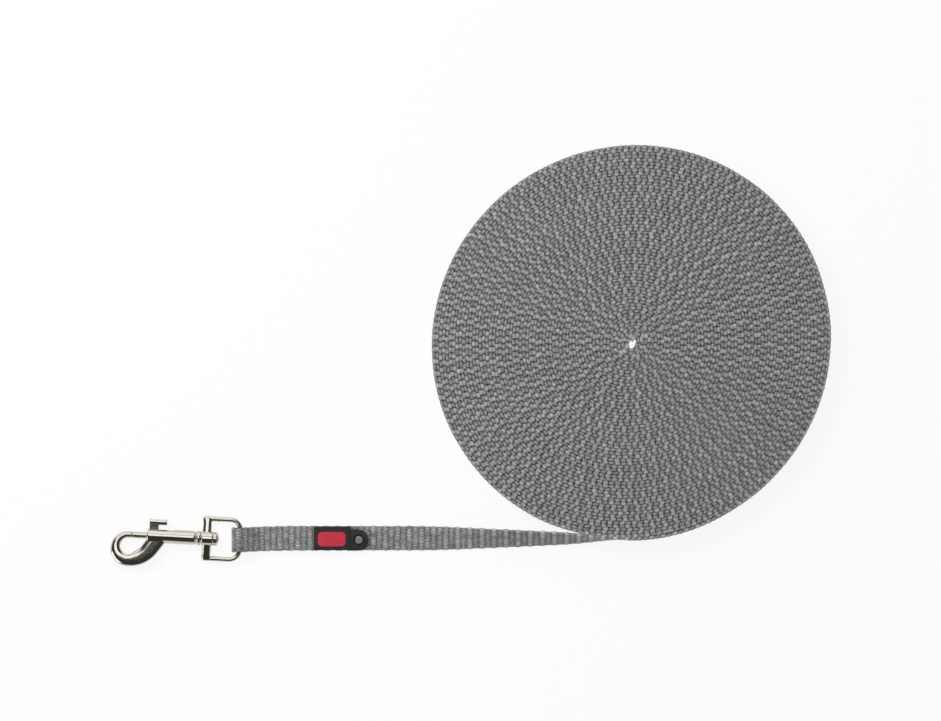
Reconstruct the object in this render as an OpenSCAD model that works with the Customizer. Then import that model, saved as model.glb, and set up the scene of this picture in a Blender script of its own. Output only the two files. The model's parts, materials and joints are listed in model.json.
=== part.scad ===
// Training leash: a flat woven strap wound on its edge into a round coil, with a sewn end
// that carries a swivel eye and a bolt snap hook. It lies on a surface at z = 0.

/* [Strap] */
// Length of strap in the whole leash
leash_len = 15000; // [8000:500:18000]
// Width of the strap
strap_w = 10; // [8:0.5:14]
// Thickness of the strap
strap_t = 1.25; // [1:0.05:1.6]
// Slack between neighbouring turns of the wound strap
turn_slack = 0.085; // [0.02:0.005:0.3]
// Radius of the hole in the middle of the coil
coil_hole_r = 2.4; // [2:0.1:8]
// Loops drawn in the coil, each as thick as the turns of strap that it stands for
coil_loops = 24; // [12:1:24]
// Gap between neighbouring drawn loops
loop_gap = 0.5; // [0.45:0.05:0.8]

/* [Sewn end] */
// Room between the eye's bar and the strap folded round it
loop_slack = 0.8; // [0.6:0.05:1.2]
// Slope at which the upper layer comes down behind the eye's bar, in degrees
fold_slope = 25; // [15:1:35]
// Distance from the eye's bar to the label
label_from_eye = 29.4; // [20:0.2:50]
// Length of the label
label_l = 14.6; // [12:0.2:25]
// Distance from the strap's edge to the label's edge
label_inset = 0.2; // [0:0.1:1]
// Thickness of the label
label_t = 0.35; // [0.2:0.05:0.6]
// Distance from the label's end to its patch
patch_end_gap = 1.7; // [1.6:0.1:3]
// Distance from the label's edge to its patch
patch_side_gap = 1.9; // [1:0.1:2.6]
// Thickness of the patch
patch_t = 0.25; // [0.15:0.05:0.5]
// Length of the tab that shows past the label
tab_show = 7.2; // [6:0.2:12]
// Distance from the strap's edge to the tab's edge
tab_inset = 0.7; // [0.5:0.1:1.2]
// Distance of the rivet from the tab's round end
rivet_inset = 3.7; // [3:0.1:5]
// Diameter of the rivet's head
rivet_head_d = 3; // [2.4:0.1:3.6]
// Diameter of the rivet's post
rivet_post_d = 1.6; // [1:0.1:2]
// Thickness of the thread in the stitches
thread_d = 0.3; // [0.2:0.05:0.4]

/* [Swivel eye] */
// Room between the strap's edge and the eye's arm
eye_side_room = 1.95; // [1.5:0.05:4]
// Length of the eye's window, from its base to its bar
eye_window_l = 10.6; // [9:0.1:16]
// Diameter of the eye's wire
eye_wire_d = 2; // [1.6:0.1:2.6]
// Bend radius of the eye's corners, at the middle of the wire
eye_corner_r = 4.2; // [3:0.1:4.6]
// Length of the eye's base along the hook
eye_base_l = 3.6; // [3:0.1:5]
// Height of the eye's base
eye_base_h = 3.2; // [2.4:0.1:4]
// Diameter of the boss round the swivel pin
eye_boss_d = 6; // [4.2:0.1:6.4]
// Diameter of the swivel pin's head
pin_head_d = 5.6; // [4:0.1:6]
// Length of the swivel pin's head
pin_head_l = 2.25; // [1.6:0.05:3]

/* [Snap hook] */
// Angle at which the hook lies to the strap's line, in degrees
hook_lay = 3; // [0:0.5:4]
// Diameter of the barrel
barrel_d = 5.7; // [5.4:0.1:7]
// Length of the barrel
barrel_l = 19.3; // [18:0.1:26]
// Length of the collar behind the barrel
collar_l = 2.2; // [1.4:0.1:4]
// Diameter of the collar
collar_d = 6; // [5.4:0.1:7]
// Width of the groove between barrel and collar
groove_l = 0.6; // [0.4:0.1:1]
// Depth of the groove between barrel and collar
groove_depth = 0.45; // [0.2:0.05:0.7]
// Diameter of the bolt
bolt_d = 2.6; // [2:0.1:2.8]
// Length of bolt that shows between the barrel and the nose
bolt_show = 6.1; // [5:0.1:8]
// Travel of the bolt
bolt_travel = 6; // [4:0.1:6.5]
// Bend radius of the hook's bow, at the middle of its section
hook_r = 5; // [4.6:0.1:6]
// Bend radius where the bow runs out into the limb
limb_r = 10.6; // [9:0.1:12]
// Angle at which the limb meets the barrel, in degrees
limb_angle = 55; // [45:1:60]
// Width of the limb where the bow runs out
limb_w = 5.5; // [4.8:0.1:5.8]
// Width of the limb at the barrel
limb_root_w = 6.8; // [5.8:0.1:7.4]
// Thickness of the limb
limb_t = 4.6; // [4:0.1:5]
// Depth of the round seat cut into the bow
throat_depth = 0.5; // [0.3:0.05:0.8]
// Length of the thumb stud's cap
stud_l = 7; // [5:0.1:9]
// Height of the thumb stud's cap
stud_h = 2.4; // [1.8:0.1:3]
// Thickness of the thumb stud's cap
stud_t = 3.4; // [2.6:0.1:4]
// Length of the thumb stud's stem
stem_l = 3.7; // [3:0.1:4.6]
// Thickness of the thumb stud's stem
stem_t = 2; // [1.6:0.1:2.2]
// Room between the thumb stud's cap and the barrel
stud_room = 1.55; // [1:0.05:2.5]
// Diameter of the return spring's wire
spring_wire_d = 0.34; // [0.2:0.02:0.4]
// Curls of the return spring
spring_curls = 8; // [6:1:8]

/* [Hidden] */
$fn = 64;
webbing_grey = "#7b7c7d";
thread_grey = "#9a9b9b";
label_black = "#1d1d20";
patch_red = "#b72a41";
tab_black = "#27272b";
rivet_grey = "#77797b";
nickel = "#c8c6bf";
spring_steel = "#8f9295";

// Fits and clearances
slide_fit = 0.05;
swivel_fit = 0.05;
swivel_gap = 0.2;
head_gap = 0.15;
seat_gap = 0.08;
slot_room = 0.2;
spring_room = 0.15;
layer_gap = 0.05;
tab_gap = 0.2;

// Cuts reach past the solid that they open, and parts of one solid lap into each other
cut_over = 1;
lap = 0.1;

// Heights: the barrel and the folded strap both lie on the surface
loop_in_r = eye_wire_d / 2 + loop_slack;
loop_out_r = loop_in_r + strap_t;
axis_z = max(barrel_d / 2, collar_d / 2, eye_boss_d / 2, loop_out_r, limb_t / 2);
strap_lift = axis_z - loop_out_r;

// Free stretch: distance from the coil and lean of the strap, from on edge (90) to flat (0)
run_route = [
    [0, 90], [5, 89], [10, 84], [15, 77], [20, 70], [25, 64], [30, 60], [35, 57], [40, 53],
    [45, 49], [50, 45], [55, 41], [60, 37], [65, 31], [70, 24], [75, 18], [80, 12], [85, 7],
    [90, 3], [95, 1], [100, 0]
];
run_len = run_route[len(run_route) - 1][0];

// Sewn end: the tail lies on the strap as far as the tab, and the label covers where they meet
label_w = strap_w - 2 * label_inset;
patch_l = label_l - 2 * patch_end_gap;
patch_w = label_w - 2 * patch_side_gap;
patch_corner = 0.8;
patch_shift = -0.4;
tab_w = strap_w - 2 * tab_inset;
tab_tuck = 1.2;
end_spare = 5.2;
kink_r = 2;
arc_step = 8;
kink_mid_r = kink_r + strap_t / 2;
loop_mid_r = loop_in_r + strap_t / 2;
tail_z = 2 * strap_t + layer_gap - loop_out_r;
kink_z = tail_z + kink_r;
slope_len = ((loop_mid_r + kink_mid_r) * cos(fold_slope) - kink_z) / sin(fold_slope);
kink_x = (loop_mid_r + kink_mid_r) * sin(fold_slope) + slope_len * cos(fold_slope);
label_end = label_from_eye + label_l;
tab_start = label_end - tab_tuck;
tab_end = label_end + tab_show;
tail_end = tab_start - tab_gap;
end_len = tab_end + end_spare;
loop_len = loop_mid_r * PI + slope_len;
strap_x = -run_len - end_len;

// Rivet: a flanged post from below, and a cap pressed on it in the tab's recess
rivet_x = tab_end - rivet_inset;
rivet_shift = -0.7;
rivet_flange_t = 0.45;
rivet_cap_h = 0.6;
rivet_cap_top = 0.2;
rivet_ring_w = 0.65;
rivet_recess = 0.35;
rivet_recess_d = rivet_head_d + 2 * rivet_ring_w;
rivet_cap_z = strap_t + layer_gap + strap_t - rivet_recess;
rivet_peg = rivet_cap_h - rivet_cap_top;

// Stitches
stitch_step = 0.9;
stitch_rise = 0.2;
stitch_margin = 0.8;
tack_l = 1.5;
eye_tack_gap = 1;
tail_tack_gap = 0.6;
eye_tack_x = kink_x + eye_tack_gap;
tail_tack_x = label_from_eye - tack_l - tail_tack_gap;
seam_inset = 0.6;
seam_l = 0.9;

// Coil: its radius follows from the strap that it takes up
wound_len = leash_len - run_len - end_len - loop_len - tail_end;
coil_r = sqrt(coil_hole_r ^ 2 + wound_len * (strap_t + turn_slack) / PI);
loop_step = (coil_r - coil_hole_r + loop_gap) / (coil_loops + 1);
loop_t = loop_step - loop_gap;
coil_centre = [0, coil_r - strap_t / 2];
loop_rings = 24;
edge_chamfer = 0.35;
lead_in = 150;

// Eye: its window is wider than the strap, and its base turns on the swivel pin
eye_window_w = strap_w + 2 * eye_side_room;
eye_half_w = (eye_window_w + eye_wire_d) / 2;
eye_shift = -0.75;
base_x = -eye_wire_d / 2 - eye_window_l;
base_corner = 1;
boss_proud = 0.4;
boss_inner = 0.8;
boss_x = base_x - eye_base_l - boss_proud;
boss_l = eye_base_l + boss_proud + boss_inner;

// Places along the hook, from the eye's bar towards the nose
collar_x = boss_x - swivel_gap;
barrel_x = collar_x - collar_l;
front_x = barrel_x - barrel_l;
nose_x = front_x - bolt_show;
bow_lead = 1.3;
bow_x = nose_x - bow_lead;
pin_grip = 3.5;
pin_end_x = barrel_x - pin_grip;
pin_head_x = base_x + boss_inner + head_gap;

// Bolt and thumb stud: the stud sits in a flat on the bolt and is pegged into it
bore_r = bolt_d / 2 + slide_fit;
stem_inset = 0.8;
stem_x = front_x + stem_inset;
bolt_tail = 1.5;
bolt_end_x = stem_x + stem_l + bolt_tail;
seat_depth = 0.4;
seat_y = bolt_d / 2 - seat_depth;
peg_r = 0.7;
peg_depth = 1.2;
slot_t = stem_t + 2 * slot_room;
cap_y = barrel_d / 2 + stud_room;
stud_corner = 0.8;

// Bow, limb and the round seat between the nose and the bow
throat_gap = 0.1;
throat_top = bolt_d / 2 + throat_gap;
throat_d = 2 * hook_r - limb_w / 2 + throat_depth - throat_top;
throat_y = -throat_top - throat_d / 2;
limb_drop = 0.85;
limb_inset = 1.1;
limb_end_t = barrel_d - limb_inset;
hook_sides = 20;
bow_step = 10;
limb_step = limb_angle / 5;

// Centre of the footprint, so that the origin is the middle of the part's underside
function laid(p) = [
    strap_x + p[0] * cos(hook_lay) + p[1] * sin(hook_lay),
    eye_shift - p[0] * sin(hook_lay) + p[1] * cos(hook_lay)
];
left_end = laid([bow_x - hook_r - half_w(0.5), -hook_r])[0];
right_end = coil_centre[0] + loop_outer_r(90);
low_end = laid([bow_x, -2 * hook_r - limb_w / 2])[1];
high_end = coil_centre[1] + loop_outer_r(180);
footprint = [(left_end + right_end) / 2, (low_end + high_end) / 2];

module in_place() {
    translate([-footprint[0], -footprint[1], 0]) children();
}

module on_end() {
    in_place() translate([strap_x, 0, axis_z]) children();
}

module on_hook() {
    on_end() translate([0, eye_shift, 0]) rotate([0, 0, -hook_lay]) children();
}

// Cylinder along X, from x to x + l
module rod(x, l, d) {
    translate([x, 0, 0]) rotate([0, 90, 0]) cylinder(h = l, d = d);
}

// Rectangle with round corners, made of true arcs
module round_rect(size, r) {
    square([size[0] - 2 * r, size[1]], center = true);
    square([size[0], size[1] - 2 * r], center = true);
    for (sx = [-1, 1], sy = [-1, 1])
        translate([sx * (size[0] / 2 - r), sy * (size[1] / 2 - r)]) circle(r = r);
}

// Points along an arc, in steps of arc_step degrees or less
function arc_points(centre, r, start, end) =
    let (steps = ceil(abs(end - start) / arc_step))
        [for (i = [0:steps]) let (a = start + (end - start) * i / steps) centre + r * [cos(a), sin(a)]];

function reverse(list) = [for (i = [len(list) - 1:-1:0]) list[i]];

// Triangles of a closed tube made of rings with the same number of corners
function tube_faces(rings, sides) = [
    for (i = [0:rings - 2], j = [0:sides - 1])
        each let (k = (j + 1) % sides, a = i * sides, b = a + sides)
            [[a + j, a + k, b + k], [a + j, b + k, b + j]],
    for (j = [1:sides - 2]) [0, j + 1, j],
    for (j = [1:sides - 2]) let (e = (rings - 1) * sides) [e, e + j, e + j + 1]
];

module tube(rings) {
    points = [for (ring = rings) each ring];
    polyhedron(points, tube_faces(len(rings), len(rings[0])), convexity = 10);
}

// Coil of strap on its edge: section across the strap at a turn angle, counted from the outer end
function loop_outer_r(turn) = coil_r - loop_step * turn / 360;
function loop_thick(turn) = strap_t + (loop_t - strap_t) * min(1, turn / lead_in);
function loop_section(turn) =
    let (outer = loop_outer_r(turn), inner = outer - loop_thick(turn), c = edge_chamfer) [
        [inner, 0], [outer, 0], [outer, strap_w - c], [outer - c, strap_w],
        [inner + c, strap_w], [inner, strap_w - c]
    ];
function loop_ring(turn) = [
    for (p = loop_section(turn))
        [coil_centre[0] + p[0] * sin(turn), coil_centre[1] - p[0] * cos(turn), p[1]]
];
coil_turns = [for (i = [0:coil_loops * loop_rings]) i * 360 / loop_rings];
coil_rings = concat(
    [[for (p = loop_ring(0)) p - [strap_t, 0, 0]]],
    [for (turn = coil_turns) loop_ring(turn)]
);
coil_gaps = [
    for (i = [1:len(coil_rings) - loop_rings - 3], k = [-2:2])
        if (i + loop_rings + k < len(coil_rings))
            norm(coil_rings[i][0] - coil_rings[i + loop_rings + k][1])
];
echo(least_gap_of_the_coil_to_itself = min(coil_gaps));

module strap_coil() {
    color(webbing_grey) in_place() tube(coil_rings);
}

// Free stretch: the strap leans over from on edge to flat while one edge stays on the surface
function run_ring(x, lean) =
    let (
        across = [0, cos(lean), sin(lean)] * strap_w / 2,
        face = [0, -sin(lean), cos(lean)] * strap_t / 2,
        height = sin(lean) * strap_w / 2 + cos(lean) * (strap_t / 2 + strap_lift),
        middle = [-x, 0, height]
    )
    [middle + across - face, middle + across + face, middle - across + face, middle - across - face];

module strap_run() {
    color(webbing_grey) in_place()
        tube([for (p = run_route) run_ring(max(p[0], strap_t), p[1])]);
}

// Sewn end, seen from the side: both faces of the strap from its tail, round the eye's bar, and back
function end_face(loop_r, bend_r, tail_top, floor_z) = concat(
    [[tail_end, tail_top]],
    arc_points([kink_x, kink_z], bend_r, 270, 270 - fold_slope),
    arc_points([0, 0], loop_r, 90 - fold_slope, 270),
    [[end_len, floor_z]]
);
end_outline = concat(
    end_face(loop_out_r, kink_r, tail_z, -loop_out_r),
    reverse(end_face(loop_in_r, kink_r + strap_t, tail_z - strap_t, -loop_in_r))
);

module strap_end() {
    color(webbing_grey) on_end() difference() {
        translate([0, strap_w / 2, 0]) rotate([90, 0, 0]) linear_extrude(strap_w) polygon(end_outline);
        translate([rivet_x, rivet_shift, -loop_out_r - cut_over]) {
            cylinder(h = strap_t + 2 * cut_over, d = rivet_post_d);
            cylinder(h = rivet_flange_t + cut_over, d = rivet_head_d);
        }
    }
}

// Row of stitches across the strap, each lying along the strap on the face at height z
module stitch_row(x, z, l, w) {
    count = floor((w - 2 * stitch_margin) / stitch_step);
    for (i = [0:count])
        translate([x, (i - count / 2) * stitch_step - thread_d / 2, z]) cube([l, thread_d, stitch_rise]);
}

module eye_bartack() {
    color(thread_grey) on_end() stitch_row(eye_tack_x, tail_z, tack_l, strap_w);
}

module tail_bartack() {
    color(thread_grey) on_end() stitch_row(tail_tack_x, tail_z, tack_l, strap_w);
}

module label_band() {
    color(label_black) on_end() translate([label_from_eye, -label_w / 2, tail_z])
        cube([label_l, label_w, label_t]);
}

module label_patch() {
    color(patch_red) on_end() translate([label_from_eye + label_l / 2, patch_shift, tail_z + label_t])
        linear_extrude(patch_t) round_rect([patch_l, patch_w], patch_corner);
}

module label_stitching() {
    color(label_black) on_end() for (x = [label_from_eye + seam_inset, label_end - seam_inset - seam_l])
        stitch_row(x, tail_z + label_t, seam_l, label_w);
}

// Tab: a plate as thick as the tail, with a round end and a recess for the rivet's head
module size_tab() {
    round_x = tab_end - tab_w / 2;
    color(tab_black) on_end() translate([0, rivet_shift, tail_z - strap_t]) difference() {
        union() {
            translate([tab_start, -tab_w / 2, 0]) cube([round_x - tab_start, tab_w, strap_t]);
            intersection() {
                translate([round_x, 0, 0]) cylinder(h = strap_t, d = tab_w);
                translate([round_x, -tab_w / 2, 0]) cube([tab_w / 2, tab_w, strap_t]);
            }
        }
        translate([rivet_x, 0, -cut_over]) cylinder(h = strap_t + 2 * cut_over, d = rivet_post_d);
        translate([rivet_x, 0, strap_t - rivet_recess]) cylinder(h = cut_over, d = rivet_recess_d);
    }
}

module rivet_cap() {
    color(rivet_grey) on_end() translate([rivet_x, rivet_shift, rivet_cap_z - loop_out_r]) difference() {
        cylinder(h = rivet_cap_h, d = rivet_head_d);
        translate([0, 0, -cut_over]) cylinder(h = cut_over + rivet_peg, d = rivet_post_d);
    }
}

module rivet_post() {
    color(rivet_grey) on_end() translate([rivet_x, rivet_shift, -loop_out_r]) {
        cylinder(h = rivet_flange_t, d = rivet_head_d);
        cylinder(h = rivet_cap_z + rivet_peg, d = rivet_post_d);
    }
}

// Eye: a D of round wire on a bossed base
module swivel_eye() {
    base_w = 2 * eye_half_w + eye_wire_d;
    corner_y = eye_half_w - eye_corner_r;
    arm_x = base_x - eye_base_l / 2;
    color(nickel) on_hook() difference() {
        union() {
            rotate([90, 0, 0]) translate([arm_x, 0, -base_w / 2])
                linear_extrude(base_w) round_rect([eye_base_l, eye_base_h], base_corner);
            rod(boss_x, boss_l, eye_boss_d);
            for (side = [-1, 1]) {
                translate([0, side * eye_half_w, 0]) rod(arm_x, -arm_x - eye_corner_r, eye_wire_d);
                translate([-eye_corner_r, side * corner_y, 0])
                    rotate([0, 0, side > 0 ? 0 : -90]) rotate_extrude(angle = 90)
                        translate([eye_corner_r, 0]) circle(d = eye_wire_d);
            }
            translate([0, corner_y, 0]) rotate([90, 0, 0]) cylinder(h = 2 * corner_y, d = eye_wire_d);
        }
        rod(boss_x - cut_over, boss_l + 2 * cut_over, 2 * (bore_r + swivel_fit));
    }
}

// Pin: a shank pressed into the barrel, and a domed head inside the eye
module swivel_pin() {
    dome = pin_head_l / 2;
    dome_r = (pin_head_d ^ 2 / 4 + dome ^ 2) / (2 * dome);
    dome_angle = asin(pin_head_d / 2 / dome_r);
    dome_centre = [0, pin_head_x + pin_head_l - dome_r];
    profile = concat(
        [[0, pin_end_x], [bore_r, pin_end_x], [bore_r, pin_head_x], [pin_head_d / 2, pin_head_x]],
        arc_points(dome_centre, dome_r, 90 - dome_angle, 90)
    );
    color(nickel) on_hook() rotate([0, 90, 0]) rotate_extrude() polygon(profile);
}

// Hook: the section grows from the round nose to the flat-sided limb as it goes round the bow
function smooth(s) = s * s * (3 - 2 * s);
function half_w(s) = (bolt_d + (limb_w - bolt_d) * smooth(s)) / 2;
function half_t(s) = (bolt_d + (limb_t - bolt_d) * smooth(s)) / 2;
function hook_ring(centre, heading, a, b) = [
    for (j = [0:hook_sides - 1])
        let (turn = -360 * j / hook_sides, side = a * cos(turn))
            [centre[0] - side * sin(heading), centre[1] + side * cos(heading), b * sin(turn)]
];
limb_start = [
    bow_x + limb_r * sin(limb_angle),
    limb_r * (1 - cos(limb_angle)) - 2 * hook_r
];
limb_run = (-limb_drop - limb_start[1]) / tan(limb_angle);
hook_rings = concat(
    [hook_ring([nose_x, 0], 180, bolt_d / 2, bolt_d / 2)],
    [for (a = [0:bow_step:180]) hook_ring(
        [bow_x - hook_r * sin(a), hook_r * cos(a) - hook_r], 180 + a, half_w(a / 180), half_t(a / 180)
    )],
    [for (a = [limb_step:limb_step:limb_angle]) hook_ring(
        [bow_x + limb_r * sin(a), limb_r * (1 - cos(a)) - 2 * hook_r], a,
        (limb_w + (limb_root_w - limb_w) * a / limb_angle) / 2, limb_t / 2
    )],
    [hook_ring([limb_start[0] + limb_run, -limb_drop], limb_angle, limb_root_w / 2, limb_end_t / 2)]
);

module hook_body() {
    color(nickel) on_hook() difference() {
        union() {
            tube(hook_rings);
            rod(front_x, barrel_l, barrel_d);
            rod(barrel_x - lap, groove_l + 2 * lap, barrel_d - 2 * groove_depth);
            rod(barrel_x + groove_l, collar_l - groove_l, collar_d);
        }
        rod(front_x - cut_over, barrel_l + collar_l + 2 * cut_over, 2 * bore_r);
        translate([stem_x - slot_room, 0, -slot_t / 2])
            cube([stem_l + bolt_travel + 2 * slot_room, barrel_d, slot_t]);
        translate([bow_x, throat_y, -limb_t]) cylinder(h = 2 * limb_t, d = throat_d);
    }
}

module bolt() {
    color(nickel) on_hook() difference() {
        rod(nose_x + seat_gap, bolt_end_x - nose_x - seat_gap, bolt_d);
        translate([stem_x, seat_y, -bolt_d]) cube([stem_l, bolt_d, 2 * bolt_d]);
        translate([stem_x + stem_l / 2, seat_y + cut_over, 0]) rotate([90, 0, 0])
            cylinder(h = peg_depth + cut_over, r = peg_r);
    }
}

module thumb_stud() {
    color(nickel) on_hook() {
        translate([stem_x, seat_y, -stem_t / 2]) cube([stem_l, cap_y - seat_y, stem_t]);
        translate([stem_x + stud_l / 2, cap_y + stud_h, 0]) rotate([90, 0, 0])
            linear_extrude(stud_h) round_rect([stud_l, stud_t], stud_corner);
        translate([stem_x + stem_l / 2, seat_y, 0]) rotate([90, 0, 0])
            cylinder(h = peg_depth, r = peg_r);
    }
}

// Spring: its wire starts and ends along the barrel, square to the bolt and to the pin
spring_r = bore_r - spring_wire_d / 2 - spring_room;
spring_l = pin_end_x - bolt_end_x;
curl_rings = 8;
curl_pitch = (spring_l - 2 * spring_wire_d) / spring_curls;
curl_slope = atan2(curl_pitch, 2 * PI * spring_r);
wire_sides = 6;
function wire_ring(x, turn, slope) = [
    for (j = [0:wire_sides - 1])
        let (
            a = 360 * j / wire_sides,
            out = spring_r + cos(a) * spring_wire_d / 2,
            side = sin(a) * spring_wire_d / 2
        ) [
            bolt_end_x + x + side * cos(slope),
            out * cos(turn) + side * sin(slope) * sin(turn),
            out * sin(turn) - side * sin(slope) * cos(turn)
        ]
];
spring_turns = [for (i = [0:spring_curls * curl_rings]) i * 360 / curl_rings];
spring_rings = concat(
    [wire_ring(0, 0, 90)],
    [for (turn = spring_turns) wire_ring(spring_wire_d + turn / 360 * curl_pitch, turn, curl_slope)],
    [wire_ring(spring_l, 360 * spring_curls, 90)]
);
spring_gaps = [
    for (i = [1:len(spring_rings) - curl_rings - 2], p = spring_rings[i], q = spring_rings[i + curl_rings])
        norm(p - q)
];
echo(least_gap_of_the_spring_to_itself = min(spring_gaps));

module return_spring() {
    color(spring_steel) on_hook() tube(spring_rings);
}

strap_coil();
strap_run();
strap_end();
eye_bartack();
tail_bartack();
label_band();
label_patch();
label_stitching();
size_tab();
rivet_cap();
rivet_post();
swivel_eye();
swivel_pin();
hook_body();
bolt();
thumb_stud();
return_spring();
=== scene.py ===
# %% [markdown]
# A training leash, dressed in Blender. About fifteen metres of flat polyester webbing lie wound on
# edge in a round coil, and the free end is sewn round the swivel eye of a small bolt snap hook.
# The solids that carry the motion are loaded first, as a frame that stays where it is. Every piece
# below is then modelled in that frame, in metres, and rides on one of its bodies.

# %% Load the frame
import json
import math

import bmesh
import bpy
from mathutils import Matrix, Vector, noise


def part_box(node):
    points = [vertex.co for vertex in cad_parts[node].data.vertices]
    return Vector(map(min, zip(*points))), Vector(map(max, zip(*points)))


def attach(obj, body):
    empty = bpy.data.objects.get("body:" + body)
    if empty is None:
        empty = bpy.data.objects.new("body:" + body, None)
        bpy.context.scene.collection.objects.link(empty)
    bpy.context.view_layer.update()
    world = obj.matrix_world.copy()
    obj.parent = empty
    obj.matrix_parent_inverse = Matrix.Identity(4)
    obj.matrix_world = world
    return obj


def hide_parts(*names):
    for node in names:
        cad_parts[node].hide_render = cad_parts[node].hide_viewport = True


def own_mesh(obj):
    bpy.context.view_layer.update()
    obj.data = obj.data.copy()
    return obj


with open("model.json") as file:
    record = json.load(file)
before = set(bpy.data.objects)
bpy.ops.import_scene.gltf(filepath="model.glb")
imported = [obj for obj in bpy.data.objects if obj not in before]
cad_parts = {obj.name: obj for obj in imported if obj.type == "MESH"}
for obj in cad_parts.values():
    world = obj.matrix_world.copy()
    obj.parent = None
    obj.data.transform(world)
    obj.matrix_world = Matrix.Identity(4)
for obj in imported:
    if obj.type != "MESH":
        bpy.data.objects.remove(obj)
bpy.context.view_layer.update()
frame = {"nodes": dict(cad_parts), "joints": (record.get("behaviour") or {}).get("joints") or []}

# %% [markdown]
# Sizes are easiest to read in millimetres, so shapes are drawn in millimetres in a frame of their
# own and set into the part at the end. The strap's frame starts under the eye's bar, with X along
# the strap and Z up from the surface. The hook's frame starts in the eye's bar, with X along the
# bolt, and both come from the joints and boxes of the loaded model, so nothing is fitted by eye.

# %% Places taken from the frame
mm = 0.001
joints = {joint["name"]: joint for joint in frame["joints"]}
bar = Vector(joints["eye_swing"]["pos_m"])
along_bar = Vector(joints["eye_swing"]["axis"])
along_bolt = Vector(joints["bolt_slide"]["axis"])
end_low, end_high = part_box("strap_end")


def drawn_in_mm(origin, x_axis, y_axis):
    """The matrix that sets a shape drawn in millimetres into the part."""
    turn = Matrix((x_axis, y_axis, x_axis.cross(y_axis))).transposed().to_4x4()
    return Matrix.Translation(origin) @ turn @ Matrix.Scale(mm, 4)


strap_middle = (end_low.y + end_high.y) / 2
on_strap = drawn_in_mm(Vector((bar.x, strap_middle, 0)), Vector((1, 0, 0)), Vector((0, 1, 0)))
on_hook = drawn_in_mm(bar, along_bolt, along_bar)
bar_z = bar.z / mm
print("bar at", [round(c / mm, 2) for c in bar], "mm")

# %% [markdown]
# The strap is ten millimetres wide and fifteen metres long. The free stretch, the fold round the
# eye and the tail on top of it each take a measured part of that length. The rest is wound up, and
# as every turn takes its own thickness, the length alone decides how large the coil is.

# %% Sizes of the strap and its lay
leash_len = 15000
strap_w = 10
strap_t = 1.25
turn_slack = 0.085
coil_hole_r = 2.4
end_len = (end_high.x - bar.x) / mm
# Distance from the coil and lean of the strap in degrees, from on edge to flat
run_route = [
    (0, 90), (5, 89), (10, 84), (15, 77), (20, 70), (25, 64), (30, 60), (35, 57), (40, 53),
    (45, 49), (50, 45), (55, 41), (60, 37), (65, 31), (70, 24), (75, 18), (80, 12), (85, 7),
    (90, 3), (95, 1), (100, 0)
]
run_len = run_route[-1][0]
coil_x = end_len + run_len
run_end = coil_x - strap_t
# The fold round the eye's bar: a loop, a slope down behind it, a small bend and the flat tail
fold_slope = math.radians(25)
fold_mid_r = 2.425
kink_mid_r = 2.625
tail_end = 42.6
tail_z = 2 * strap_t + 0.05
kink_z = tail_z - strap_t / 2 + kink_mid_r
slope_drop = bar_z - kink_z + (fold_mid_r + kink_mid_r) * math.cos(fold_slope)
slope_len = slope_drop / math.sin(fold_slope)
# What is left of the strap is wound up, and sets the coil's radius
wound_len = leash_len - run_len - end_len - fold_mid_r * math.pi - slope_len - tail_end
coil_r = math.sqrt(coil_hole_r ** 2 + wound_len * (strap_t + turn_slack) / math.pi)
print("wound", round(wound_len / 1000, 2), "m to a radius of", round(coil_r, 1), "mm")

# %% [markdown]
# The photograph looks straight down. Its scale is 0.4 mm to a pixel, and the coil's centre lies at
# a known pixel, which fixes where the camera stands. A long lens far above keeps the walls of the
# coil from showing, as they hardly do in the picture.

# %% Camera
photo_size = (941, 721)
coil_pixel = (631, 341.8)
pixel = 0.4 * mm
camera_height = 2.0
plane_height = 5 * mm
sensor = 36

coil_centre = on_strap @ Vector((coil_x, coil_r - strap_t / 2, 0))

camera_data = bpy.data.cameras.new("overhead_camera")
camera_data.sensor_fit = "HORIZONTAL"
camera_data.sensor_width = sensor
camera_data.lens = sensor * (camera_height - plane_height) / (photo_size[0] * pixel)
camera = bpy.data.objects.new("overhead_camera", camera_data)
camera.location = (
    coil_centre.x + (photo_size[0] / 2 - coil_pixel[0]) * pixel,
    coil_centre.y - (photo_size[1] / 2 - coil_pixel[1]) * pixel,
    camera_height,
)
bpy.context.scene.collection.objects.link(camera)
bpy.context.scene.camera = camera
print("camera over", [round(c / mm, 2) for c in camera.location], "mm, lens", round(camera_data.lens, 1))

# %% [markdown]
# A material or a world is a small graph. One function adds a node of any kind with its settings and
# its links, and another turns the hex colours that people write into linear ones.

# %% Helpers for colours and nodes


def hex_colour(code):
    """An sRGB hex code as linear RGBA."""
    parts = [int(code[i:i + 2], 16) / 255 for i in (1, 3, 5)]
    return [c / 12.92 if c <= 0.04045 else ((c + 0.055) / 1.055) ** 2.4 for c in parts] + [1]


def add_node(tree, kind, sockets=None, stops=(), to=None, **settings):
    """Adds a node. Settings are its properties, sockets take a value, a node or one of its outputs,
    stops are the places and colours on a ramp, and to is a socket that its first output goes to."""
    made = tree.nodes.new(kind)
    for name, value in settings.items():
        setattr(made, name, value)
    for name, value in (sockets or {}).items():
        if isinstance(value, bpy.types.Node):
            value = value.outputs[0]
        if isinstance(value, bpy.types.NodeSocket):
            tree.links.new(value, made.inputs[name])
        else:
            made.inputs[name].default_value = value
    for number, (position, code) in enumerate(stops):
        made.color_ramp.elements[number].position = position
        made.color_ramp.elements[number].color = hex_colour(code)
    if to is not None:
        tree.links.new(made.outputs[0], to)
    return made


print("mid grey is", round(hex_colour("#808080")[0], 3), "in linear light")

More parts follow.
